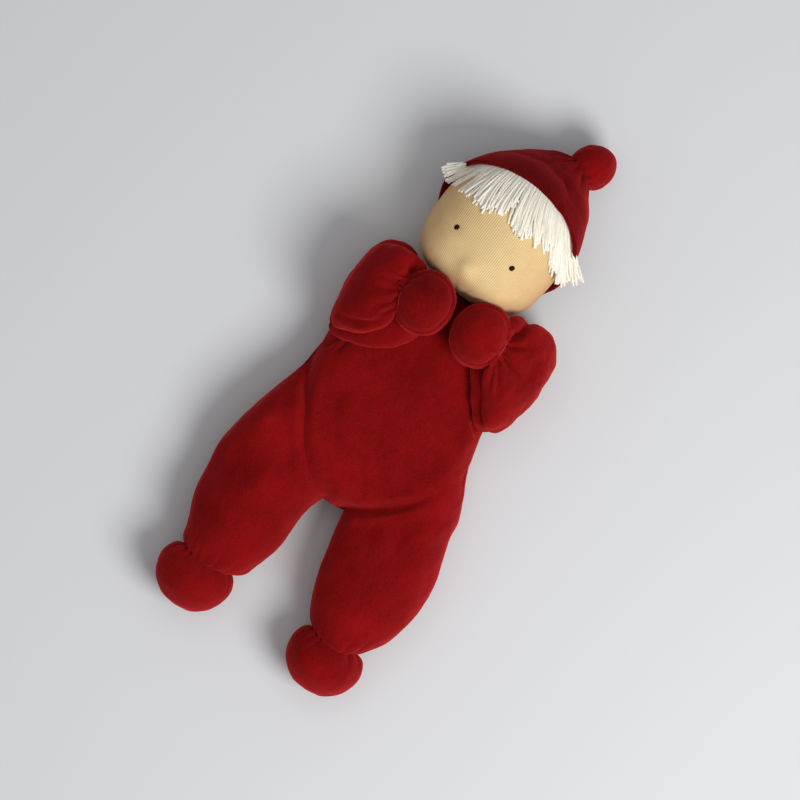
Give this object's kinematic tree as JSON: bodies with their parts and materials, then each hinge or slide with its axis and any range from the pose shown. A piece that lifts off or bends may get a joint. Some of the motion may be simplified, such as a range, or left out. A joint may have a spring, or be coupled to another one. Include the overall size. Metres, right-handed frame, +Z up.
{
  "type": "waldorf doll",
  "caption": "Soft cloth cuddle doll in a one-colour velour suit and peaked hood, with ball hands and feet, a jersey face and a yarn fringe.",
  "frame": {"origin": "The centre of the flat the doll rests on, in the middle of its back at the waist.", "axes": "+Y towards the head, +Z up out of the chest and face, +X to the doll's own left."},
  "size_m": [0.1306, 0.3098, 0.0698],
  "materials": {
    "velour": "crimson cotton velour with a short dense pile and a soft sheen at grazing angles",
    "jersey": "warm beige knitted cotton jersey, matt, with fine upright wales",
    "yarn": "off-white plied cotton yarn, matt",
    "wool": "cream carded sheep's wool, matt and fluffy",
    "thread": "dark red sewing thread, slightly shiny",
    "gauze": "tubular cotton gauze bound tight round wool, matt",
    "eye_thread": "dark brown embroidery thread, slightly shiny"
  },
  "bodies": {
    "torso": {"torso_cover": "velour", "torso_wool": "wool"},
    "leg_left": {"leg_left_cover": "velour", "leg_left_wool": "wool"},
    "leg_right": {"leg_right_cover": "velour", "leg_right_wool": "wool"},
    "foot_left": {"foot_left_cover": "velour", "foot_left_wool": "wool", "ankle_tie_left": "thread"},
    "foot_right": {"foot_right_cover": "velour", "foot_right_wool": "wool", "ankle_tie_right": "thread"},
    "upper_arm_left": {"upper_arm_left_cover": "velour", "upper_arm_left_wool": "wool"},
    "upper_arm_right": {"upper_arm_right_cover": "velour", "upper_arm_right_wool": "wool"},
    "forearm_left": {"forearm_left_cover": "velour", "forearm_left_wool": "wool"},
    "forearm_right": {"forearm_right_cover": "velour", "forearm_right_wool": "wool"},
    "hand_left": {"hand_left_cover": "velour", "hand_left_wool": "wool", "wrist_tie_left": "thread"},
    "hand_right": {"hand_right_cover": "velour", "hand_right_wool": "wool", "wrist_tie_right": "thread"},
    "neck": {"neck_stub": "gauze", "neck_tie": "thread"},
    "head": {"head_skin": "jersey", "head_core": "wool", "eye_left": "eye_thread", "eye_right": "eye_thread", "hood": "velour", "hair_fringe": "yarn"},
    "pompom": {"pompom_cover": "velour", "pompom_wool": "wool", "pompom_tie": "thread"}
  },
  "joints": [
    {"name": "hip_left", "type": "hinge", "parent": "torso", "child": "leg_left", "pos_m": [0.038, -0.038, 0.0335], "axis": [-1, 0, 0], "range_deg": [0, 65]},
    {"name": "hip_right", "type": "hinge", "parent": "torso", "child": "leg_right", "pos_m": [-0.038, -0.038, 0.0335], "axis": [-1, 0, 0], "range_deg": [0, 65]},
    {"name": "ankle_left", "type": "hinge", "parent": "leg_left", "child": "foot_left", "pos_m": [0.03876, -0.1162, 0.01979], "axis": [-1, 0, 0], "range_deg": [-18, 18]},
    {"name": "ankle_right", "type": "hinge", "parent": "leg_right", "child": "foot_right", "pos_m": [-0.03876, -0.1162, 0.01979], "axis": [-1, 0, 0], "range_deg": [-18, 18]},
    {"name": "shoulder_left", "type": "hinge", "parent": "torso", "child": "upper_arm_left", "pos_m": [0.03256, 0.038, 0.001], "axis": [0, 1, 0], "range_deg": [0, 45]},
    {"name": "shoulder_right", "type": "hinge", "parent": "torso", "child": "upper_arm_right", "pos_m": [-0.03256, 0.038, 0.001], "axis": [0, -1, 0], "range_deg": [0, 45]},
    {"name": "elbow_left", "type": "hinge", "parent": "upper_arm_left", "child": "forearm_left", "pos_m": [0.054, 0.038, 0.0299], "axis": [0, 1, 0], "range_deg": [0, 150]},
    {"name": "elbow_right", "type": "hinge", "parent": "upper_arm_right", "child": "forearm_right", "pos_m": [-0.054, 0.038, 0.0299], "axis": [0, -1, 0], "range_deg": [0, 150]},
    {"name": "wrist_left", "type": "hinge", "parent": "forearm_left", "child": "hand_left", "pos_m": [0.0308, 0.0473, 0.0532], "axis": [0, 1, 0], "range_deg": [-6, 20]},
    {"name": "wrist_right", "type": "hinge", "parent": "forearm_right", "child": "hand_right", "pos_m": [-0.0308, 0.0473, 0.0532], "axis": [0, -1, 0], "range_deg": [-6, 20]},
    {"name": "neck_nod", "type": "hinge", "parent": "torso", "child": "neck", "pos_m": [-0.0042, 0.054, 0.0215], "axis": [-0.9976, 0.0698, 0], "range_deg": [0, 12]},
    {"name": "head_turn", "type": "hinge", "parent": "neck", "child": "head", "pos_m": [-0.0042, 0.054, 0.0215], "axis": [0.0698, 0.9976, 0], "range_deg": [-35, 35]},
    {"name": "pompom_tilt", "type": "hinge", "parent": "head", "child": "pompom", "pos_m": [0.01179, 0.14164, 0.02195], "axis": [-0.1216, 0.0085, 0.9925], "range_deg": [-15, 15]}
  ]
}
